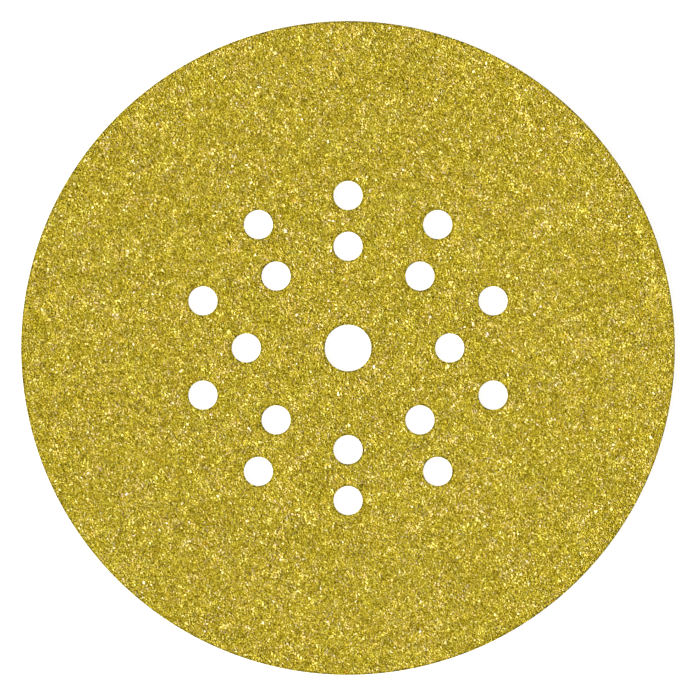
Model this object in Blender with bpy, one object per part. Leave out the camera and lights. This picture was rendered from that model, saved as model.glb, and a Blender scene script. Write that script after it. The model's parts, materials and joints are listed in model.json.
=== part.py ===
"""Hook and loop sanding disc with dust extraction holes, as a die-cut laminate of three bonded sheets.

The loop fabric lies at the bottom, the backing paper on it and the abrasive coat on top.
The origin is the centre of the underside, and +Z points from the loops to the grit.
+X passes through a hole of the inner ring, and +Y through one of each ring.
Lengths are in metres and angles in radians.
"""

import math

import bpy
from mathutils import Matrix, Vector

# Die-cut outline
DISC_DIAMETER = 0.225
CENTRE_HOLE_DIAMETER = 0.016

# Outer ring of dust holes, one of them on +Y
OUTER_RING_DIAMETER = 0.105
OUTER_RING_COUNT = 10
OUTER_RING_START = math.pi / 2
OUTER_HOLE_DIAMETER = 0.010

# Inner ring of dust holes, one of them on +X. A strip of whole disc parts the two rings
RING_STRIP = 0.0075
INNER_RING_COUNT = 8
INNER_RING_START = 0.0
INNER_HOLE_DIAMETER = 0.010
INNER_RING_DIAMETER = OUTER_RING_DIAMETER - OUTER_HOLE_DIAMETER - INNER_HOLE_DIAMETER - 2 * RING_STRIP

# Bonded sheets, from the bottom up
LOOP_FABRIC_THICKNESS = 0.0009
BACKING_PAPER_THICKNESS = 0.0003
ABRASIVE_COAT_THICKNESS = 0.0006

# Round edges are polygons whose sides lie this close to the true circle
CHORD_ERROR = 0.00004
SIDES_MULTIPLE = 4

# Colours are linear RGB
LOOP_COLOUR = (0.80, 0.79, 0.75)
PAPER_COLOUR = (0.62, 0.50, 0.27)
COAT_COLOUR = (0.47, 0.36, 0.035)

COLLECTION_NAME = "hook_and_loop_sanding_disc"


def clear_scene():
    for obj in list(bpy.data.objects):
        bpy.data.objects.remove(obj, do_unlink=True)


def make_material(name, colour, roughness):
    material = bpy.data.materials.new(name)
    material.use_nodes = True
    shader = material.node_tree.nodes["Principled BSDF"]
    shader.inputs["Base Color"].default_value = (*colour, 1.0)
    shader.inputs["Roughness"].default_value = roughness
    shader.inputs["Metallic"].default_value = 0.0
    return material


def side_count(radius):
    """The fewest sides, in multiples of four, that keep a polygon within CHORD_ERROR of its circle."""
    half_angle = math.acos(max(0.0, 1.0 - CHORD_ERROR / radius))
    return SIDES_MULTIPLE * math.ceil(math.pi / half_angle / SIDES_MULTIPLE)


def add_circle(curve, centre, diameter):
    """One closed polygonal circle in a flat curve, with corners on its own X and Y axes."""
    radius = diameter / 2
    sides = side_count(radius)
    spline = curve.splines.new("POLY")
    spline.points.add(sides - 1)
    spline.use_cyclic_u = True
    spoke = Vector((radius, 0.0))
    for index, point in enumerate(spline.points):
        corner = centre + Matrix.Rotation(math.tau * index / sides, 2) @ spoke
        point.co = (corner.x, corner.y, 0.0, 1.0)


def ring_centres(ring_diameter, count, start):
    """The hole centres of one ring, evenly spaced from the start angle."""
    spoke = Vector((ring_diameter / 2, 0.0))
    return [Matrix.Rotation(start + math.tau * index / count, 2) @ spoke for index in range(count)]


def die_cut_curve(name):
    """The flat outline that the die cuts through all three sheets: a rim and nineteen round holes."""
    curve = bpy.data.curves.new(name, "CURVE")
    curve.dimensions = "2D"
    curve.fill_mode = "BOTH"
    disc_centre = Vector((0.0, 0.0))
    add_circle(curve, disc_centre, DISC_DIAMETER)
    add_circle(curve, disc_centre, CENTRE_HOLE_DIAMETER)
    for hole_centre in ring_centres(INNER_RING_DIAMETER, INNER_RING_COUNT, INNER_RING_START):
        add_circle(curve, hole_centre, INNER_HOLE_DIAMETER)
    for hole_centre in ring_centres(OUTER_RING_DIAMETER, OUTER_RING_COUNT, OUTER_RING_START):
        add_circle(curve, hole_centre, OUTER_HOLE_DIAMETER)
    return curve


def add_sheet(collection, datum, name, bottom, thickness, material):
    """One sheet of the laminate. It returns the height of its upper face, where the next is bonded."""
    curve = die_cut_curve(name)
    curve.extrude = thickness / 2
    curve.materials.append(material)
    sheet = bpy.data.objects.new(name, curve)
    sheet.location.z = bottom + thickness / 2
    sheet.parent = datum
    collection.objects.link(sheet)
    return bottom + thickness


def main():
    clear_scene()
    collection = bpy.data.collections.new(COLLECTION_NAME)
    bpy.context.scene.collection.children.link(collection)
    datum = bpy.data.objects.new("underside_centre", None)
    collection.objects.link(datum)

    loops = make_material("loop_fabric", LOOP_COLOUR, 0.9)
    paper = make_material("backing_paper", PAPER_COLOUR, 0.75)
    coat = make_material("abrasive_coat", COAT_COLOUR, 0.45)

    top = add_sheet(collection, datum, "loop_fabric", 0.0, LOOP_FABRIC_THICKNESS, loops)
    top = add_sheet(collection, datum, "backing_paper", top, BACKING_PAPER_THICKNESS, paper)
    add_sheet(collection, datum, "abrasive_coat", top, ABRASIVE_COAT_THICKNESS, coat)


main()
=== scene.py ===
"""Looks of a hook and loop sanding disc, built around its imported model.

The file is laid out as an add-on and is run as a script. The frame gives every size of the die-cut
outline and of the three sheets. The settings below give the grain, the resin, the knitted loops and
the studio. Lengths are in metres.
"""

import json
import math

import bmesh
import bpy
import numpy as np
from bpy.props import FloatProperty, FloatVectorProperty, IntProperty, PointerProperty
from bpy.types import Operator, Panel, PropertyGroup
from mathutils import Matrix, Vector, geometry


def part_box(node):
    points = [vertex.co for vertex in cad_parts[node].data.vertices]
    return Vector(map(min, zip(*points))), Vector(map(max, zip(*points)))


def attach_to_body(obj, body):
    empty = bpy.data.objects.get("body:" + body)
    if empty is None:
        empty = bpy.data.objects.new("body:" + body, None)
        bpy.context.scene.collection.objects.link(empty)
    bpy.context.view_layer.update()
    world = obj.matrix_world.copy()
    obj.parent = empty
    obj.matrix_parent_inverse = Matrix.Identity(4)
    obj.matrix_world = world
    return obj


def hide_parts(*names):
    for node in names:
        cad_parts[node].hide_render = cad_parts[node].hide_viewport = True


bl_info = {
    "name": "Hook and Loop Sanding Disc",
    "version": (1, 0, 0),
    "blender": (4, 5, 0),
    "location": "3D View > Sidebar > Sanding Disc",
    "description": "Grain, resin, paper and knitted loops of a sanding disc, in a plain studio",
    "category": "Mesh",
}

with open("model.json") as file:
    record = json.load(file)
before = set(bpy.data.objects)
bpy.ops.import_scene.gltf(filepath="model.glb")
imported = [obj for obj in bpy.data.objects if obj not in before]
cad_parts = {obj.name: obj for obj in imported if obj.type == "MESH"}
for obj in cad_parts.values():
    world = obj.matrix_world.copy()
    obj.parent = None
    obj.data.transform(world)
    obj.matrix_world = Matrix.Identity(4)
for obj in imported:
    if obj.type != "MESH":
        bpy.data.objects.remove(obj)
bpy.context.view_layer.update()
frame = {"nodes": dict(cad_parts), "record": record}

BODY = "root"
COAT, PAPER, LOOPS = "abrasive_coat", "backing_paper", "loop_fabric"
BAKE_MAP = "OFBake"
TONE_LAYER = "grain_tone"

COAT_LOW, COAT_HIGH = (corner[2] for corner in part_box(COAT))
LOOPS_LOW, LOOPS_HIGH = (corner[2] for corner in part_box(LOOPS))
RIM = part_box(COAT)[1][0]


def read_holes():
    """(x, y, radius) of each hole, with its centre from the record and its radius from the coat."""
    corners = np.array([v.co[:2] for v in frame["nodes"][COAT].data.vertices])
    boxes = np.array([opening["box_m"] for opening in frame["record"]["physics"]["openings"]])
    # Some holes have two boxes, with the same centre
    centres = np.unique(boxes.mean(axis=1)[:, :2].round(5), axis=0)
    return [(x, y, np.linalg.norm(corners - (x, y), axis=1).min()) for x, y in centres]


HOLES = read_holes()

# Grains and yarns are cut off this far inside the die-cut edge, just clear of the sheets' sides
DIE_INSET = 0.00002


class GritSettings(PropertyGroup):
    """Sizes, places and colours of the grains."""

    pitch: FloatProperty(
        name="Grain pitch",
        description="Mean distance between neighbouring grains",
        default=0.00063,
        unit="LENGTH",
    )
    width: FloatProperty(
        name="Grain width",
        description="Mean width of a grain",
        default=0.00076,
        unit="LENGTH",
    )
    spread: FloatProperty(
        name="Width spread",
        description="How much one grain's width differs from the next, as a share",
        default=0.26,
    )
    cluster: FloatProperty(
        name="Cluster span",
        description="Width of the patches where grains stand higher and paler, or lower and darker",
        default=0.0019,
        unit="LENGTH",
    )
    tone: FloatProperty(
        name="Mean tone",
        description="Where an ordinary grain stands between the dark foot and the pale crest",
        default=0.62,
    )
    tone_spread: FloatProperty(
        name="Tone spread",
        description="How much one grain's tone differs from the next",
        default=0.36,
    )
    tone_skew: FloatProperty(
        name="Tone skew",
        description="How lopsided the spread is: a few grains far paler, and most a little darker",
        default=0.95,
        min=0.01,
    )
    size_tone: FloatProperty(
        name="Paler large grains",
        description="How much paler a grain is for each mean width that it is wider",
        default=0.5,
    )
    tone_drift: FloatProperty(
        name="Tone drift",
        description="How much the tone differs from cluster to cluster",
        default=0.12,
    )
    drowned: FloatProperty(
        name="Drowned grains",
        description="Share of the grains that lie deep in the resin and look dark",
        default=0.05,
        subtype="FACTOR",
        min=0.0,
        max=1.0,
    )
    bare: FloatProperty(
        name="Bare grains",
        description="Share of the grains that the resin hardly covers and that look pale",
        default=0.018,
        subtype="FACTOR",
        min=0.0,
        max=1.0,
    )
    # The dark line along the die-cut edge is painted shade, on grains that the die crushed lower
    crushed: FloatProperty(
        name="Crushed edge",
        description="Width of the dark line where the die crushed the grains",
        default=0.00060,
        unit="LENGTH",
    )
    # Colour of the painted shade along the die-cut edge
    edge_shade_tint: FloatVectorProperty(
        name="Crushed grain",
        description="Colour of the grains that the die crushed and smeared",
        subtype="COLOR",
        size=3,
        default=(0.08, 0.10, 0.045),
    )
    mottle: FloatProperty(
        name="Mottle",
        description="How far the resin's colour darkens and brightens from spot to spot",
        default=0.30,
        subtype="FACTOR",
        min=0.0,
        max=1.0,
    )
    mottle_span: FloatProperty(
        name="Mottle span",
        description="Distance between one dark or bright spot of the resin and the next",
        default=0.00038,
        unit="LENGTH",
    )
    patch: FloatProperty(
        name="Patch",
        description="How far wider patches of the grit are darker or brighter than the rest",
        default=0.35,
        subtype="FACTOR",
        min=0.0,
        max=1.0,
    )
    patch_span: FloatProperty(
        name="Patch span",
        description="Distance between one dark or bright patch and the next",
        default=0.0024,
        unit="LENGTH",
    )
    cast: FloatVectorProperty(
        name="Colour cast",
        description="Share by which red, green and blue drift from patch to patch",
        size=3,
        default=(0.028, -0.028, 0.34),
    )
    cast_span: FloatProperty(
        name="Cast span",
        description="Distance between a greener patch of the resin and a browner one",
        default=0.0045,
        unit="LENGTH",
    )
    haze: FloatProperty(
        name="Haze",
        description="How far a thin milky haze dulls the grains where it lies thickest",
        default=0.65,
        subtype="FACTOR",
        min=0.0,
        max=1.0,
    )
    haze_tint: FloatVectorProperty(
        name="Haze tint",
        description="Colour of the milky haze",
        subtype="COLOR",
        size=3,
        default=(0.60, 0.43, 0.21),
    )
    seed: IntProperty(name="Seed", description="Start of the random draws", default=7)
    # Partly painted shade: the grains' feet darken towards this colour, both as thick resin and as
    # shade between the grains
    foot: FloatVectorProperty(
        name="Grain foot",
        description="Colour of a grain's foot, where the resin lies thickest",
        subtype="COLOR",
        size=3,
        default=(0.215, 0.158, 0.0010),
    )
    resin: FloatVectorProperty(
        name="Resin over grain",
        description="Colour of an ordinary grain under its amber size coat",
        subtype="COLOR",
        size=3,
        default=(0.615, 0.487, 0.045),
    )
    crest: FloatVectorProperty(
        name="Grain crest",
        description="Colour of the crests and edges, where the resin lies thinnest",
        subtype="COLOR",
        size=3,
        default=(0.79, 0.69, 0.20),
    )
    rust: FloatVectorProperty(
        name="Rusty speck",
        description="Colour of the rare specks of rusty brown",
        subtype="COLOR",
        size=3,
        default=(0.54, 0.27, 0.012),
    )
    rust_span: FloatProperty(
        name="Rusty speck span",
        description="Distance between hills of the noise whose rare peaks are rusty",
        default=0.0022,
        unit="LENGTH",
    )
    pale: FloatVectorProperty(
        name="Pale grain",
        description="Colour of the few grains that the resin hardly covers",
        subtype="COLOR",
        size=3,
        default=(0.92, 0.80, 0.45),
    )


class BondSettings(PropertyGroup):
    """The resin that holds the grains, and the grain dust in it."""

    depth: FloatProperty(
        name="Bond depth",
        description="Mean depth of the resin between the grains",
        default=0.00016,
        unit="LENGTH",
    )
    relief: FloatProperty(
        name="Bond relief",
        description="Height from the hollows to the crests of the resin",
        default=0.00006,
        unit="LENGTH",
    )
    pitch: FloatProperty(
        name="Mesh pitch",
        description="Distance between the points of the resin's surface",
        default=0.0016,
        unit="LENGTH",
    )
    # Partly painted shade: this resin between the grains is far darker than the resin on them, as
    # shade in the gaps
    resin: FloatVectorProperty(
        name="Resin",
        description="Colour of the resin between the grains",
        subtype="COLOR",
        size=3,
        default=(0.17, 0.120, 0.0010),
    )
    dust: FloatVectorProperty(
        name="Fines",
        description="Colour of ordinary grain dust in the resin",
        subtype="COLOR",
        size=3,
        default=(0.37, 0.284, 0.0036),
    )
    crest: FloatVectorProperty(
        name="Pale fines",
        description="Colour of the palest grain dust in the resin",
        subtype="COLOR",
        size=3,
        default=(0.61, 0.501, 0.045),
    )
    fines: FloatProperty(
        name="Fines width",
        description="Width of the grain dust between the grains",
        default=0.00042,
        unit="LENGTH",
    )
    fines_relief: FloatProperty(
        name="Fines relief",
        description="How far the grain dust seems to stand out of the resin",
        default=0.00027,
        unit="LENGTH",
    )
    seed: IntProperty(name="Seed", description="Start of the random draws", default=3)


class PaperSettings(PropertyGroup):
    """Colours of the backing paper."""

    paper: FloatVectorProperty(
        name="Paper",
        description="Colour of the backing paper",
        subtype="COLOR",
        size=3,
        default=(0.62, 0.50, 0.27),
    )
    fibre: FloatVectorProperty(
        name="Fibre shade",
        description="Colour of the darker fibres in the paper",
        subtype="COLOR",
        size=3,
        default=(0.45, 0.33, 0.15),
    )


class LoopSettings(PropertyGroup):
    """The knitted ground of the loop fabric and its standing loops."""

    wale: FloatProperty(
        name="Wale pitch",
        description="Distance between the ribs of the knitted fabric",
        default=0.0016,
        unit="LENGTH",
    )
    course: FloatProperty(
        name="Course pitch",
        description="Distance between the rows of stitches along a rib",
        default=0.0011,
        unit="LENGTH",
    )
    row: FloatProperty(
        name="Mesh row",
        description="Distance between the rows of points along a rib",
        default=0.0028,
        unit="LENGTH",
    )
    ground: FloatProperty(
        name="Ground height",
        description="Height of the ground fabric's grooves above the resting face",
        default=0.00060,
        unit="LENGTH",
    )
    rib: FloatProperty(
        name="Rib height",
        description="How far the ribs stand out of their grooves",
        default=0.00030,
        unit="LENGTH",
    )
    pitch: FloatProperty(
        name="Loop pitch",
        description="Mean distance between the standing loops",
        default=0.0024,
        unit="LENGTH",
    )
    span: FloatProperty(
        name="Loop span",
        description="Mean distance between the two feet of a loop",
        default=0.0011,
        unit="LENGTH",
    )
    thickness: FloatProperty(
        name="Yarn thickness",
        description="Mean thickness of a loop's yarn",
        default=0.0002,
        unit="LENGTH",
    )
    seed: IntProperty(name="Seed", description="Start of the random draws", default=11)
    yarn: FloatVectorProperty(
        name="Yarn",
        description="Colour of the fabric and its loops",
        subtype="COLOR",
        size=3,
        default=(0.74, 0.73, 0.68),
    )
    shade: FloatVectorProperty(
        name="Yarn shade",
        description="Colour of the gaps between the stitches",
        subtype="COLOR",
        size=3,
        default=(0.50, 0.49, 0.45),
    )


class StageSettings(PropertyGroup):
    """Camera, lights and floor."""

    lens: FloatProperty(
        name="Lens",
        description="Focal length of the camera",
        default=250.0,
        unit="CAMERA",
    )
    frame_width: FloatProperty(
        name="Frame width",
        description="Width that the camera sees at the height of the grit",
        default=0.23943,
        unit="LENGTH",
    )
    floor: FloatVectorProperty(
        name="Floor",
        description="Colour of the floor",
        subtype="COLOR",
        size=3,
        default=(0.35, 0.35, 0.35),
    )
    glow: FloatProperty(
        name="Floor glow",
        description="White light that the floor gives off, as a light table does, to thin the shadow",
        default=0.86,
    )
    sky: FloatVectorProperty(
        name="Fill light",
        description="Colour and strength of the even light from above, warm as if off amber walls",
        subtype="COLOR",
        size=3,
        default=(0.16, 0.14, 0.09),
    )
    backdrop: FloatVectorProperty(
        name="Backdrop",
        description="Colour of the white backdrop near the horizon",
        subtype="COLOR",
        size=3,
        default=(1.0, 1.0, 1.0),
    )
    key: FloatProperty(
        name="Key light",
        description="Strength of the distant softbox that rakes the grit",
        default=6.25,
    )
    key_place: FloatVectorProperty(
        name="Key direction",
        description="Azimuth and height of the key light",
        unit="ROTATION",
        size=2,
        default=(math.radians(200.0), math.radians(38.0)),
    )
    key_width: FloatProperty(
        name="Key width",
        description="Angle that the key light fills, which softens its shadows",
        subtype="ANGLE",
        default=math.radians(11.5),
    )
    glint: FloatProperty(
        name="Glint light",
        description="Strength of the small high light that sparkles on the grains",
        default=0.40,
    )
    glint_place: FloatVectorProperty(
        name="Glint direction",
        description="Azimuth and height of the glint light",
        unit="ROTATION",
        size=2,
        default=(math.radians(45.0), math.radians(72.0)),
    )
    glint_width: FloatProperty(
        name="Glint width",
        description="Angle that the glint light fills",
        subtype="ANGLE",
        default=math.radians(7.0),
    )


def depth_inside(points):
    """How far each point lies inside the die-cut edge. It is negative past the rim or in a hole."""
    depth = RIM - np.hypot(points[:, 0], points[:, 1])
    for x, y, radius in HOLES:
        depth = np.minimum(depth, np.hypot(points[:, 0] - x, points[:, 1] - y) - radius)
    return depth


def cut_by_die(points):
    """Moves each point that lies past the die-cut edge back to it, as the die shears a grain."""
    reach = np.hypot(points[:, 0], points[:, 1])
    over = reach > RIM - DIE_INSET
    points[over, :2] *= ((RIM - DIE_INSET) / reach[over])[:, None]
    for x, y, radius in HOLES:
        away = points[:, :2] - (x, y)
        reach = np.hypot(away[:, 0], away[:, 1])
        under = reach < radius + DIE_INSET
        points[under, :2] = (x, y) + away[under] * ((radius + DIE_INSET) / reach[under])[:, None]
    return points


def staggered_grid(pitch):
    """Points of a staggered grid that covers the disc."""
    row_pitch = pitch * math.sqrt(3) / 2
    rows = np.arange(-math.ceil(RIM / row_pitch), math.ceil(RIM / row_pitch) + 1)
    columns = np.arange(-math.ceil(RIM / pitch) - 1, math.ceil(RIM / pitch) + 2)
    row, column = (axis.ravel() for axis in np.meshgrid(rows, columns, indexing="ij"))
    return np.stack([(column + (row % 2) / 2) * pitch, row * row_pitch], 1)


def scattered_grid(pitch, share, rng):
    """A staggered grid whose points are each moved at random by up to a share of the pitch."""
    points = staggered_grid(pitch)
    return points + rng.uniform(-share, share, points.shape) * pitch


def value_noise(points, cell, rng):
    """Smooth random heights from 0 to 1 over the disc, with hills about one cell wide."""
    count = math.ceil(2 * RIM / cell) + 3
    table = rng.random((count, count))
    place = (points[:, :2] + RIM) / cell + 1
    low = np.floor(place).astype(int).clip(0, count - 2)
    share = place - low
    share = share * share * (3 - 2 * share)
    (i, j), (u, v) = low.T, share.T
    near = table[i, j] * (1 - u) + table[i + 1, j] * u
    far = table[i, j + 1] * (1 - u) + table[i + 1, j + 1] * u
    return near * (1 - v) + far * v


def new_mesh_object(name, points, triangles, smooth):
    """A mesh object from arrays of points and triangles, with the flat map that a bake uses."""
    mesh = bpy.data.meshes.new(name)
    mesh.vertices.add(len(points))
    mesh.vertices.foreach_set("co", points.astype(np.float32).ravel())
    mesh.loops.add(triangles.size)
    mesh.loops.foreach_set("vertex_index", triangles.astype(np.int32).ravel())
    mesh.polygons.add(len(triangles))
    mesh.polygons.foreach_set("loop_start", np.arange(0, triangles.size, 3, dtype=np.int32))
    mesh.polygons.foreach_set("use_smooth", np.full(len(triangles), smooth))
    mesh.update(calc_edges=True)
    flat = mesh.uv_layers.new(name=BAKE_MAP)
    places = points[triangles.ravel(), :2] / (2 * RIM) + 0.5
    flat.data.foreach_set("uv", places.astype(np.float32).ravel())
    made = bpy.data.objects.new(name, mesh)
    bpy.context.scene.collection.objects.link(made)
    return made


def attach(piece, material, slot, *nodes):
    piece.data.materials.append(material)
    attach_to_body(piece, BODY)
    if nodes:
        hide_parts(*nodes)


# A noise runs from 0 to 1, and all but its rare peaks and pits lie between these two
NOISE_BODY = (0.3, 0.7)


class Finish:
    """A material under construction: short ways to add nodes and join them."""

    def __init__(self, name):
        self.material = bpy.data.materials.new(name)
        self.material.use_nodes = True
        self.tree = self.material.node_tree
        self.shader = self.tree.nodes["Principled BSDF"]
        self.place = self.node("ShaderNodeTexCoord").outputs["Object"]

    def node(self, kind, **settings):
        made = self.tree.nodes.new(kind)
        for name, value in settings.items():
            setattr(made, name, value)
        return made

    def feed(self, socket, value):
        if isinstance(value, bpy.types.NodeSocket):
            self.tree.links.new(value, socket)
        else:
            socket.default_value = value

    def noise(self, hills, detail=2.0):
        """Smooth random heights with so many hills per metre."""
        made = self.node("ShaderNodeTexNoise")
        self.feed(made.inputs["Vector"], self.place)
        made.inputs["Scale"].default_value = hills
        made.inputs["Detail"].default_value = detail
        return made.outputs["Fac"]

    def attribute(self, name):
        return self.node("ShaderNodeAttribute", attribute_name=name).outputs["Fac"]

    def ramp(self, value, *stops):
        made = self.node("ShaderNodeValToRGB")
        self.feed(made.inputs["Fac"], value)
        elements = made.color_ramp.elements
        while len(elements) < len(stops):
            elements.new(1.0)
        for element, (position, colour) in zip(elements, stops):
            element.position = position
            element.color = (*colour, 1.0)
        return made.outputs["Color"]

    def span(self, value, low, high, from_low=0.0, from_high=1.0):
        """Carries the range from from_low to from_high over to the range from low to high."""
        made = self.node("ShaderNodeMapRange")
        self.feed(made.inputs["Value"], value)
        made.inputs["From Min"].default_value = from_low
        made.inputs["From Max"].default_value = from_high
        made.inputs["To Min"].default_value = low
        made.inputs["To Max"].default_value = high
        return made.outputs["Result"]

    def sway(self, spacing, share, detail):
        """A factor that sways from place to place by up to a share to either side of one."""
        return self.span(self.noise(1.0 / spacing, detail), 1.0 - share, 1.0 + share, *NOISE_BODY)

    def math(self, operation, first, second=0.0):
        made = self.node("ShaderNodeMath", operation=operation)
        self.feed(made.inputs[0], first)
        self.feed(made.inputs[1], second)
        return made.outputs["Value"]

    def mix(self, share, first, second, blend="MIX"):
        made = self.node("ShaderNodeMix", data_type="RGBA", blend_type=blend)
        self.feed(made.inputs["Factor"], share)
        self.feed(made.inputs["A"], first)
        self.feed(made.inputs["B"], second)
        return made.outputs["Result"]

    def bump(self, height, distance):
        made = self.node("ShaderNodeBump")
        made.inputs["Distance"].default_value = distance
        self.feed(made.inputs["Height"], height)
        self.feed(self.shader.inputs["Normal"], made.outputs["Normal"])

    def set(self, **sockets):
        """Feeds the shader's sockets, such as Base Color as base_color."""
        for name, value in sockets.items():
            self.feed(self.shader.inputs[name.replace("_", " ").title()], value)


def rgb(colour):
    return (*colour, 1.0)


# A grain's corners lie on a ball, the first three of them low down as its feet
GRAIN_SHAPES = 32
GRAIN_CORNERS = 5
GRAIN_FOOT = 3
FOOT_TURN = 0.4
FOOT_SINK = (-0.85, -0.45)
CORNER_TRIES = 6
GRAIN_STRETCH = (0.75, 1.2)
GRAIN_LEAN = 0.35

# Widths of the sieve fractions against the mean, limits of one grain's width against its fraction,
# and how much wider a bare grain is
FRACTIONS = ("coarse", "medium", "small", "fine")
FRACTION_WIDTHS = (1.30, 1.08, 0.92, 0.74)
GRAIN_WIDTHS = (0.55, 1.7)
BARE_WIDER = 1.25

# Places of the grains: off the grid as a share of its pitch, from the cut edge, and off the paper
GRAIN_SCATTER = 0.5
GRAIN_INSET = 0.00008
GRAIN_FLOOR = 0.00001

# Clusters follow hills of two widths: how much wider the broad hills are, and their share
BROAD_HILLS = 2.6
BROAD_SHARE = 0.35

# How high the grains stand, as shares of the coat above the resin
STAND_MEAN = 0.74
STAND_SPREAD = 0.16
STAND_DRIFT = 0.08
STAND_LEAST = 0.4

# Tones run from -1, crushed grain painted in shade at the die-cut edge, through 0, a dark foot, to 1,
# bare grain
DROWNED_TONE = 0.0
COATED_TONES = (0.0, 0.9)
BARE_TONE = 1.0
# Partly painted shade: how much darker the foot corners are, both as thick resin and as shade between
# the grains
FOOT_DARKER = 0.35
# Painted shade: how far the tone falls at the die-cut edge, below a dark foot
EDGE_DARKER = 2.0

# Finish of the grain: hills per metre of its noises, depth of its pits, and where each effect sets in
HAZE_HILLS = 520.0
HAZE_BODY = (0.5, 0.74)
HAZED_TONES = (0.2, 0.6)
RUST_SHARE = 0.8
RUST_PEAKS = (0.79, 0.85)
GLOSS_HILLS = 2600.0
GLOSSY_TONES = (0.1, 0.6)
PIT_HILLS = 5200.0
PIT_DEPTH = 0.00004


def crushed_shape(rng):
    """Corners and triangles of one crushed grain, which stands on three corners under a broken top."""
    spread = np.arange(GRAIN_FOOT) * math.tau / GRAIN_FOOT
    turn = rng.uniform(0, math.tau) + spread + rng.uniform(-FOOT_TURN, FOOT_TURN, GRAIN_FOOT)
    lean = rng.uniform(*FOOT_SINK, GRAIN_FOOT)
    corners = [
        np.array([math.cos(a) * math.cos(b), math.sin(a) * math.cos(b), math.sin(b)])
        for a, b in zip(turn, lean)
    ]
    # Each further corner is the one of a few tries that lies farthest from its neighbours
    while len(corners) < GRAIN_CORNERS:
        tries = rng.normal(size=(CORNER_TRIES, 3))
        tries[:, 2] = np.abs(tries[:, 2])
        tries /= np.linalg.norm(tries, axis=1)[:, None]
        nearest = (tries @ np.array(corners).T).max(1)
        corners.append(tries[nearest.argmin()])
    hull = bmesh.new()
    for corner in corners:
        hull.verts.new(corner)
    bmesh.ops.convex_hull(hull, input=hull.verts[:])
    bmesh.ops.recalc_face_normals(hull, faces=hull.faces[:])
    hull.verts.index_update()
    triangles = [[v.index for v in face.verts] for face in hull.faces]
    hull.free()
    return np.array(corners), np.array(triangles)


def random_turns(count, lean, rng):
    """Rotation matrices that turn each grain about the upright by any angle and then lean it over."""
    turn = rng.uniform(0, math.tau, count)
    tilt = rng.normal(0, lean, count)
    way = rng.uniform(0, math.tau, count)
    c, s, zero, one = np.cos(turn), np.sin(turn), np.zeros(count), np.ones(count)
    yaw = np.array([[c, -s, zero], [s, c, zero], [zero, zero, one]])
    x, y, c, s = np.cos(way), np.sin(way), np.cos(tilt), np.sin(tilt)
    over = np.array(
        [
            [c + x * x * (1 - c), x * y * (1 - c), y * s],
            [x * y * (1 - c), c + y * y * (1 - c), -x * s],
            [-y * s, x * s, c],
        ]
    )
    return np.einsum("ijn,jkn->nik", over, yaw)


def grain_material(settings):
    """Golden grain under amber resin, thick and dark at its foot and thin and pale on top. The dark
    foot is partly painted shade between the grains.
    """
    finish = Finish("amber_resin_grain")
    tone = finish.attribute(TONE_LAYER)
    # Tones of -1, 0, 0.5, 0.9 and 0.98, as places from 0 to 1 along the ramp. The stop at -1 is the
    # painted shade of the die-cut edge
    base = finish.ramp(
        finish.span(tone, 0.0, 1.0, -1.0, 1.0),
        (0.0, settings.edge_shade_tint),
        (0.5, settings.foot),
        (0.75, settings.resin),
        (0.95, settings.crest),
        (0.99, settings.pale),
    )
    haze = finish.span(finish.noise(HAZE_HILLS), 0.0, settings.haze, *HAZE_BODY)
    haze = finish.math("MULTIPLY", haze, finish.span(tone, 0.0, 1.0, *HAZED_TONES))
    colour = finish.mix(haze, base, rgb(settings.haze_tint))
    rusty = finish.noise(1.0 / settings.rust_span, detail=0.0)
    rusty = finish.span(rusty, 0.0, RUST_SHARE, *RUST_PEAKS)
    colour = finish.mix(rusty, colour, rgb(settings.rust))
    least, most = NOISE_BODY
    cast = finish.ramp(
        finish.noise(1.0 / settings.cast_span, detail=1.0),
        (least, [1.0 - share for share in settings.cast]),
        (most, [1.0 + share for share in settings.cast]),
    )
    mottle = finish.sway(settings.mottle_span, settings.mottle, detail=2.0)
    patch = finish.sway(settings.patch_span, settings.patch, detail=1.0)
    shaded = finish.node("ShaderNodeVectorMath", operation="SCALE")
    finish.feed(shaded.inputs[0], finish.mix(1.0, colour, cast, "MULTIPLY"))
    finish.feed(shaded.inputs["Scale"], finish.math("MULTIPLY", mottle, patch))
    finish.set(
        base_color=shaded.outputs[0],
        roughness=finish.span(finish.noise(GLOSS_HILLS), 0.22, 0.5, *NOISE_BODY),
    )
    finish.feed(finish.shader.inputs["Specular IOR Level"], finish.span(tone, 0.0, 0.5, *GLOSSY_TONES))
    finish.bump(finish.noise(PIT_HILLS, detail=3.0), PIT_DEPTH)
    return finish.material


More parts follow.
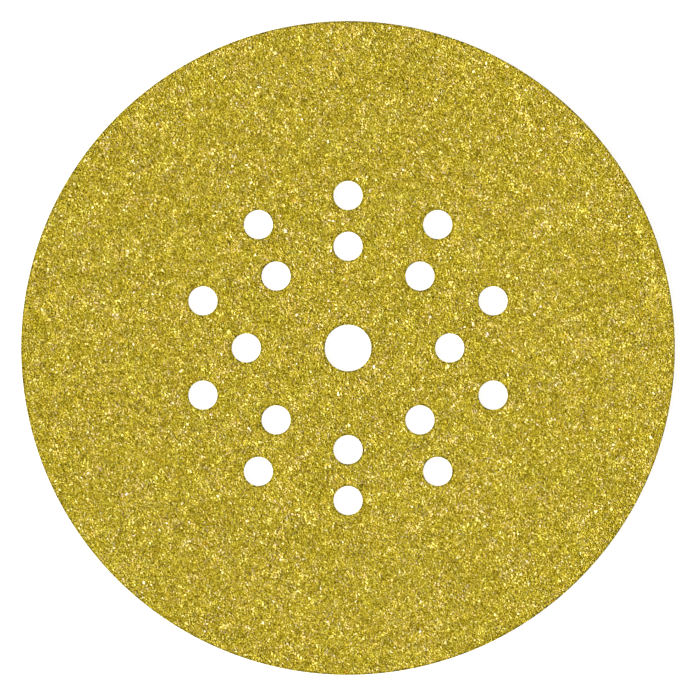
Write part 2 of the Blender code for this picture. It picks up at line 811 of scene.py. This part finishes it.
class SANDINGDISC_OT_grit(Operator):
    """Scatters crushed grains of four sieve fractions over the coat and shears them at the cut edge"""

    bl_idname = "sanding_disc.grit"
    bl_label = "Scatter the Grit"

    def execute(self, context):
        grit = context.scene.sanding_disc_grit
        bond = context.scene.sanding_disc_bond
        rng = np.random.default_rng(grit.seed)
        shapes = [crushed_shape(rng) for _ in range(GRAIN_SHAPES)]
        material = grain_material(grit)
        places = scattered_grid(grit.pitch, GRAIN_SCATTER, rng)
        places = places[depth_inside(places) > GRAIN_INSET]
        fraction = rng.permutation(len(places)) % len(FRACTIONS)
        narrow = value_noise(places, grit.cluster, rng)
        broad = value_noise(places, BROAD_HILLS * grit.cluster, rng)
        cluster = (1.0 - BROAD_SHARE) * narrow + BROAD_SHARE * broad
        cluster = (cluster - cluster.mean()) / cluster.std()
        floor = COAT_LOW + bond.depth
        for index, (name, share) in enumerate(zip(FRACTIONS, FRACTION_WIDTHS)):
            chosen = fraction == index
            points, triangles, tone = self.grains(
                places[chosen], cluster[chosen], shapes, grit, share, floor, rng
            )
            piece = new_mesh_object(f"{name}_grain", points, triangles, smooth=False)
            layer = piece.data.attributes.new(TONE_LAYER, "FLOAT", "POINT")
            layer.data.foreach_set("value", tone.astype(np.float32))
            attach(piece, material, COAT)
        return {"FINISHED"}

    def grains(self, places, cluster, shapes, grit, share, floor, rng):
        """Points, triangles and each point's tone for one sieve fraction.

        The triangles that face up come last, so that they win where they overlap in the flat bake map.
        """
        count = len(places)
        draw = rng.random(count)
        bare = draw < grit.bare
        half = grit.width / 2 * share * np.exp(rng.normal(0.0, grit.spread, count)).clip(*GRAIN_WIDTHS)
        half[bare] *= BARE_WIDER
        turns = random_turns(count, GRAIN_LEAN, rng)
        shape = rng.integers(GRAIN_SHAPES, size=count)
        corners = np.array([corner for corner, _ in shapes])[shape]
        faces = np.array([face for _, face in shapes])[shape]
        stretch = rng.uniform(*GRAIN_STRETCH, (count, 1, 3))
        local = np.einsum("nij,nkj->nki", turns, corners * stretch) * half[:, None, None]
        top = local[:, :, 2].max(1)
        stand = STAND_MEAN + STAND_SPREAD * rng.normal(size=count) + STAND_DRIFT * cluster
        stand = (COAT_HIGH - floor) * stand.clip(STAND_LEAST, 1.0)
        centre = np.column_stack([places, floor + stand - top])
        points = (local + centre[:, None, :]).reshape(-1, 3)
        points[:, 2] = points[:, 2].clip(COAT_LOW + GRAIN_FLOOR, None)
        points = cut_by_die(points)
        triangles = (faces + (np.arange(count) * GRAIN_CORNERS)[:, None, None]).reshape(-1, 3)
        edge = points[triangles]
        lift = np.cross(edge[:, 1] - edge[:, 0], edge[:, 2] - edge[:, 0])[:, 2]
        triangles = triangles[np.argsort(lift)]
        # Luck is one on average: most grains have a little less, and a few have far more
        luck = np.exp(grit.tone_skew * rng.normal(size=count) - grit.tone_skew**2 / 2)
        own = grit.tone + grit.tone_spread * (luck - 1.0) / grit.tone_skew + grit.tone_drift * cluster
        own += grit.size_tone * (2 * half / grit.width - 1.0)
        own = np.where(draw > 1.0 - grit.drowned, DROWNED_TONE, own)
        tone = np.repeat(own[:, None], GRAIN_CORNERS, 1)
        # Partly painted shade: the three foot corners are darker, both as thick resin and as shade
        # between the grains
        tone[:, :GRAIN_FOOT] -= FOOT_DARKER
        tone = np.where(bare[:, None], BARE_TONE, tone.clip(*COATED_TONES)).ravel()
        # Painted shade: within the crushed width of the rim and of the holes, the tone falls towards
        # -1
        tone -= EDGE_DARKER * (1.0 - depth_inside(points) / grit.crushed).clip(0.0, 1.0)
        return points, triangles, tone


# Sides of the round edges of every sheet
RIM_SIDES = 720
HOLE_SIDES = 72

# Grid of a face that is bonded to the next sheet, and how far a grid keeps off the cut as a share
# of its pitch
BONDED_PITCH = 0.006
GRID_MARGIN = 0.45

# Points that are closer than this are one, and edges sharper than this angle stay sharp
SAME_POINT = 1e-9
SHARP_EDGE = math.radians(40)


def disc_face(inner, margin):
    """Points and triangles of the die-cut outline, filled with those inner points that keep a margin.

    The points of the rim and of the holes come first and are the same for every face.
    """
    rings = [(0.0, 0.0, RIM, RIM_SIDES)] + [(x, y, radius, HOLE_SIDES) for x, y, radius in HOLES]
    points, edges = [], []
    for x, y, radius, sides in rings:
        first = len(points)
        angle = np.arange(sides) * math.tau / sides
        ring = np.column_stack([x + radius * np.cos(angle), y + radius * np.sin(angle)])
        points.extend(ring.tolist())
        edges.extend((first + i, first + (i + 1) % sides) for i in range(sides))
    points.extend(inner[depth_inside(inner) > margin].tolist())
    found = geometry.delaunay_2d_cdt([Vector(p) for p in points], edges, [], 1, SAME_POINT, False)
    flat, triangles = np.array([tuple(p) for p in found[0]]), np.array(found[2])
    return flat, triangles[depth_inside(flat[triangles].mean(1)) > 0]


def plain_face(height):
    """A flat face for the side of a sheet that is bonded to the next one."""
    inner = staggered_grid(BONDED_PITCH)
    flat, triangles = disc_face(inner, GRID_MARGIN * BONDED_PITCH)
    return flat, triangles, np.full(len(flat), height)


def sheet_between(name, lower, upper):
    """A closed sheet between two faces, each with its points, its triangles and its heights."""
    flat, triangles, high = upper
    under, under_triangles, low = lower
    count = len(flat)
    points = np.concatenate([np.column_stack([flat, high]), np.column_stack([under, low])])
    # A side whose twin is missing lies on the outline, which both faces share
    sides = np.concatenate([triangles[:, [0, 1]], triangles[:, [1, 2]], triangles[:, [2, 0]]])
    keys = {(a, b) for a, b in sides.tolist()}
    rim = np.array([(a, b) for a, b in keys if (b, a) not in keys])
    walls = np.concatenate(
        [
            np.column_stack([rim[:, 1], rim[:, 0], rim[:, 0] + count]),
            np.column_stack([rim[:, 1], rim[:, 0] + count, rim[:, 1] + count]),
        ]
    )
    # Sorted, because a set keeps no order of its own
    order = np.lexsort(walls.T[::-1])
    faces = np.concatenate([under_triangles[:, ::-1] + count, walls[order], triangles])
    made = new_mesh_object(name, points, faces, smooth=True)
    made.data.set_sharp_from_angle(angle=SHARP_EDGE)
    return made


# Resin: scatter of its mesh points as a share of their pitch, width of its hills in metres, and
# hills per metre in its gloss
BOND_SCATTER = 0.1
BOND_HILLS = 0.0018
BOND_GLOSS_HILLS = 900.0


def bond_material(settings):
    """Amber resin full of fines, the grain dust that is too small to be modelled. Its dark resin is
    partly painted shade between the grains.
    """
    finish = Finish("amber_bond_resin")
    fines = finish.node("ShaderNodeTexVoronoi")
    finish.feed(fines.inputs["Vector"], finish.place)
    fines.inputs["Scale"].default_value = 1.0 / settings.fines
    draw = finish.node("ShaderNodeSeparateColor")
    finish.feed(draw.inputs[0], fines.outputs["Color"])
    base = finish.ramp(
        draw.outputs["Red"],
        (0.0, settings.resin),
        (0.6, settings.dust),
        (1.0, settings.crest),
    )
    roughness = finish.span(finish.noise(BOND_GLOSS_HILLS), 0.5, 0.8)
    finish.set(base_color=base, roughness=roughness)
    finish.shader.inputs["Specular IOR Level"].default_value = 0.15
    finish.bump(finish.span(fines.outputs["Distance"], 1.0, 0.0), settings.fines_relief)
    return finish.material


class SANDINGDISC_OT_bond(Operator):
    """Lays the resin that holds the grains, uneven between them and thin at the die-cut edge"""

    bl_idname = "sanding_disc.bond"
    bl_label = "Lay the Resin Bond"

    def execute(self, context):
        bond = context.scene.sanding_disc_bond
        rng = np.random.default_rng(bond.seed)
        inner = scattered_grid(bond.pitch, BOND_SCATTER, rng)
        flat, triangles = disc_face(inner, GRID_MARGIN * bond.pitch)
        relief = value_noise(flat, BOND_HILLS, rng) - 0.5
        high = COAT_LOW + bond.depth + bond.relief * relief
        piece = sheet_between("resin_bond", plain_face(COAT_LOW), (flat, triangles, high))
        attach(piece, bond_material(bond), COAT, COAT)
        return {"FINISHED"}


# Paper: hills per metre of its fibres, and their depth
PAPER_HILLS = 1800.0
PAPER_RELIEF = 0.00003


class SANDINGDISC_OT_paper(Operator):
    """Gives the backing paper its fibrous finish"""

    bl_idname = "sanding_disc.paper"
    bl_label = "Finish the Paper"

    def execute(self, context):
        paper = context.scene.sanding_disc_paper
        finish = Finish("backing_paper_fibre")
        fibres = finish.noise(PAPER_HILLS, detail=6.0)
        finish.set(
            base_color=finish.mix(fibres, rgb(paper.paper), rgb(paper.fibre)),
            roughness=finish.span(fibres, 0.7, 0.9),
        )
        finish.bump(fibres, PAPER_RELIEF)
        node = frame["nodes"][PAPER]
        node.data.materials.clear()
        node.data.materials.append(finish.material)
        return {"FINISHED"}


# Tube of a yarn loop
YARN_SIDES = 3
YARN_RINGS = 5

# Finish of the yarn: hills per metre of its fuzz, share of the stitches in its relief, height of the
# relief, and where in it the yarn goes from shade to light
FUZZ_HILLS = 3200.0
STITCH_SHARE = 0.35
YARN_RELIEF = 0.00012
YARN_LIT = (0.2, 0.9)

# Ground fabric: points of the mesh across a rib, margin at the cut, and width and height of its slubs
RIB_POINTS = 4
GROUND_INSET = 0.0003
SLUB_HILLS = 0.004
SLUB_HEIGHT = 0.00006

# Standing loops: scatter as a share of the pitch, margin at the cut, and the spread of their shapes
LOOP_SCATTER = 0.4
LOOP_INSET = 0.0007
LOOP_THICKNESSES = (0.8, 1.2)
LOOP_REACHES = (0.7, 1.0)
LOOP_SPANS = (0.7, 1.3)
LOOP_TURN = 0.7
LOOP_LEAN = 0.0003


def yarn_arches(feet, reach, span, heading, lean, radius):
    """Points and triangles of yarn loops, each a closed three-sided tube bent into an arch.

    Each foot is the middle of an arch's two ends, reach is how far the arch hangs below it and span is
    the distance between its ends. Heading is the direction of its plane, and lean is how far its top
    tips over.
    """
    count = len(feet)
    along = np.column_stack([np.cos(heading), np.sin(heading), np.zeros(count)])
    across = np.column_stack([-np.sin(heading), np.cos(heading), np.zeros(count)])
    down = np.array([0.0, 0.0, -1.0])
    angle = np.linspace(0, math.pi, YARN_RINGS)
    swing = np.cos(angle)[None, :, None]
    hang = np.sin(angle)[None, :, None]
    middle = (
        feet[:, None, :]
        - swing * (span / 2)[:, None, None] * along[:, None, :]
        + hang * reach[:, None, None] * down
        + hang * lean[:, None, None] * across[:, None, :]
    )
    outward = -swing * along[:, None, :] + hang * down
    side = np.arange(YARN_SIDES) * math.tau / YARN_SIDES
    ring = (
        np.cos(side)[:, None] * outward[:, :, None, :]
        + np.sin(side)[:, None] * across[:, None, None, :]
    )
    points = middle[:, :, None, :] + ring * radius[:, None, None, None]
    corner = np.arange(YARN_RINGS * YARN_SIDES).reshape(YARN_RINGS, YARN_SIDES)
    near, far = corner[:-1], corner[1:]
    near_next, far_next = np.roll(near, -1, 1), np.roll(far, -1, 1)
    pattern = np.concatenate(
        [
            np.stack([near, far, far_next], -1).reshape(-1, 3),
            np.stack([near, far_next, near_next], -1).reshape(-1, 3),
            corner[0][None],
            corner[-1][None, ::-1],
        ]
    )
    triangles = pattern[None] + (np.arange(count) * YARN_RINGS * YARN_SIDES)[:, None, None]
    return points.reshape(-1, 3), triangles.reshape(-1, 3)


def yarn_material(name, loops):
    """Off-white brushed yarn, with the knit's rows of stitches as a fine relief."""
    finish = Finish(name)
    parts = finish.node("ShaderNodeSeparateXYZ")
    finish.feed(parts.inputs[0], finish.place)
    chevron = finish.math("PINGPONG", parts.outputs["X"], loops.wale / 2)
    course = finish.math("ADD", parts.outputs["Y"], chevron)
    stitch = finish.math("SINE", finish.math("MULTIPLY", course, math.tau / loops.course))
    fuzz = finish.noise(FUZZ_HILLS, detail=3.0)
    height = finish.math("ADD", finish.math("MULTIPLY", stitch, STITCH_SHARE), fuzz)
    light = finish.span(height, 0.0, 1.0, *YARN_LIT)
    colour = finish.mix(light, rgb(loops.shade), rgb(loops.yarn))
    finish.set(base_color=colour, roughness=0.92, sheen_weight=0.25, sheen_roughness=0.5)
    finish.bump(height, YARN_RELIEF)
    return finish.material


class SANDINGDISC_OT_loops(Operator):
    """Knits the ribbed ground of the loop fabric and raises its yarn loops down to the resting face"""

    bl_idname = "sanding_disc.loops"
    bl_label = "Knit the Loop Fabric"

    def execute(self, context):
        loops = context.scene.sanding_disc_loops
        rng = np.random.default_rng(loops.seed)
        material = yarn_material("knitted_loop_yarn", loops)
        cloth = self.ground(loops, rng)
        attach(cloth, material, LOOPS, LOOPS)
        pile = self.pile(loops, rng)
        attach(pile, material, LOOPS)
        return {"FINISHED"}

    def ground(self, loops, rng):
        """The knitted ground, a closed sheet with ribs along the Y axis on its underside."""
        last_column = math.ceil(RIB_POINTS * RIM / loops.wale)
        last_row = math.ceil(RIM / loops.row)
        column = np.arange(-last_column, last_column + 1) * loops.wale / RIB_POINTS
        row = np.arange(-last_row, last_row + 1) * loops.row
        inner = np.stack(np.meshgrid(column, row, indexing="ij"), -1).reshape(-1, 2)
        flat, triangles = disc_face(inner, GROUND_INSET)
        rib = (1 + np.cos(flat[:, 0] * math.tau / loops.wale)) / 2
        slub = value_noise(flat, SLUB_HILLS, rng) - 0.5
        low = LOOPS_LOW + loops.ground - loops.rib * rib + SLUB_HEIGHT * slub
        return sheet_between("loop_cloth", (flat, triangles, low), plain_face(LOOPS_HIGH))

    def pile(self, loops, rng):
        """The standing loops, rooted on the ribs and hanging down to the resting face."""
        places = scattered_grid(loops.pitch, LOOP_SCATTER, rng)
        places[:, 0] = (places[:, 0] / loops.wale).round() * loops.wale
        places = places[depth_inside(places) > LOOP_INSET]
        count = len(places)
        feet = np.column_stack([places, np.full(count, LOOPS_LOW + loops.ground)])
        radius = loops.thickness / 2 * rng.uniform(*LOOP_THICKNESSES, count)
        points, triangles = yarn_arches(
            feet,
            reach=(loops.ground - radius) * rng.uniform(*LOOP_REACHES, count),
            span=loops.span * rng.uniform(*LOOP_SPANS, count),
            heading=math.pi / 2 + rng.normal(0, LOOP_TURN, count),
            lean=rng.normal(0, LOOP_LEAN, count),
            radius=radius,
        )
        points[:, 2] = points[:, 2].clip(LOOPS_LOW, None)
        return new_mesh_object("loop_pile", cut_by_die(points), triangles, smooth=True)


# The floor is a square that reaches this far each way, a hair below the resting face
FLOOR_REACH = 3.0
FLOOR_GAP = 0.00002

# Sines of the heights between which the white backdrop fades into the sky
HORIZON = (0.05, 0.14)


class SANDINGDISC_OT_stage(Operator):
    """Sets the pale floor, the soft lights and the camera that looks straight down"""

    bl_idname = "sanding_disc.stage"
    bl_label = "Set the Studio"

    def execute(self, context):
        stage = context.scene.sanding_disc_stage
        scene = context.scene
        scene.view_settings.view_transform = "Standard"
        scene.world = self.surroundings(stage)
        self.floor(stage)
        self.lamp("key_softbox", stage.key, stage.key_place, stage.key_width)
        self.lamp("glint_light", stage.glint, stage.glint_place, stage.glint_width)

        camera_data = bpy.data.cameras.new("camera")
        camera_data.lens = stage.lens
        camera_data.clip_start = 0.01
        camera = bpy.data.objects.new("camera", camera_data)
        distance = stage.lens * stage.frame_width / camera_data.sensor_width
        camera.location = (0.0, 0.0, COAT_HIGH + distance)
        scene.collection.objects.link(camera)
        scene.camera = camera
        return {"FINISHED"}

    def surroundings(self, stage):
        """A dim even sky over a white horizon, where the backdrop of the light table stands."""
        world = bpy.data.worlds.new("studio_fill")
        world.use_nodes = True
        tree = world.node_tree
        shader = tree.nodes["Background"]
        direction = tree.nodes.new("ShaderNodeTexCoord")
        parts = tree.nodes.new("ShaderNodeSeparateXYZ")
        tree.links.new(direction.outputs["Generated"], parts.inputs[0])
        fade = tree.nodes.new("ShaderNodeValToRGB")
        tree.links.new(parts.outputs["Z"], fade.inputs["Fac"])
        colours = (stage.backdrop, stage.sky)
        for element, height, colour in zip(fade.color_ramp.elements, HORIZON, colours):
            element.position = height
            element.color = rgb(colour)
        tree.links.new(fade.outputs["Color"], shader.inputs["Color"])
        return world

    def floor(self, stage):
        """A pale square floor that gives off a little white light of its own."""
        mesh = bpy.data.meshes.new("studio_floor")
        reach = FLOOR_REACH
        corners = [(-reach, -reach, 0), (reach, -reach, 0), (reach, reach, 0), (-reach, reach, 0)]
        mesh.from_pydata(corners, [], [(0, 1, 2, 3)])
        floor = bpy.data.objects.new("studio_floor", mesh)
        bpy.context.scene.collection.objects.link(floor)
        floor.location.z = LOOPS_LOW - FLOOR_GAP
        finish = Finish("pale_floor")
        finish.set(base_color=rgb(stage.floor), roughness=0.8)
        finish.set(emission_color=(1, 1, 1, 1), emission_strength=stage.glow)
        mesh.materials.append(finish.material)

    def lamp(self, name, strength, place, width):
        """A distant soft light. Its place is an azimuth and a height, and its width an angle."""
        light = bpy.data.lights.new(name, "SUN")
        light.energy = strength
        light.angle = width
        lamp = bpy.data.objects.new(name, light)
        azimuth, height = place
        lamp.location = (
            math.cos(height) * math.cos(azimuth),
            math.cos(height) * math.sin(azimuth),
            math.sin(height),
        )
        lamp.rotation_euler = lamp.location.to_track_quat("Z", "Y").to_euler()
        bpy.context.scene.collection.objects.link(lamp)


class SANDINGDISC_PT_sidebar(Panel):
    """Lists the disc's settings and steps"""

    bl_idname = "SANDINGDISC_PT_sidebar"
    bl_label = "Sanding Disc"
    bl_space_type = "VIEW_3D"
    bl_region_type = "UI"
    bl_category = "Sanding Disc"

    def draw(self, context):
        for name, step in STEPS:
            group = getattr(context.scene, name)
            box = self.layout.box()
            for setting in group.__annotations__:
                box.prop(group, setting)
            box.operator(step.bl_idname)


SETTINGS = {
    "sanding_disc_stage": StageSettings,
    "sanding_disc_grit": GritSettings,
    "sanding_disc_bond": BondSettings,
    "sanding_disc_paper": PaperSettings,
    "sanding_disc_loops": LoopSettings,
}
STEPS = (
    ("sanding_disc_stage", SANDINGDISC_OT_stage),
    ("sanding_disc_bond", SANDINGDISC_OT_bond),
    ("sanding_disc_grit", SANDINGDISC_OT_grit),
    ("sanding_disc_paper", SANDINGDISC_OT_paper),
    ("sanding_disc_loops", SANDINGDISC_OT_loops),
)


def register():
    for group in SETTINGS.values():
        bpy.utils.register_class(group)
    for name, group in SETTINGS.items():
        setattr(bpy.types.Scene, name, PointerProperty(type=group))
    for _, step in STEPS:
        bpy.utils.register_class(step)
    bpy.utils.register_class(SANDINGDISC_PT_sidebar)


def unregister():
    bpy.utils.unregister_class(SANDINGDISC_PT_sidebar)
    for _, step in reversed(STEPS):
        bpy.utils.unregister_class(step)
    for name, group in SETTINGS.items():
        delattr(bpy.types.Scene, name)
        bpy.utils.unregister_class(group)


def main():
    register()
    bpy.ops.sanding_disc.stage()
    bpy.ops.sanding_disc.bond()
    bpy.ops.sanding_disc.grit()
    bpy.ops.sanding_disc.paper()
    bpy.ops.sanding_disc.loops()


if __name__ == "__main__":
    main()
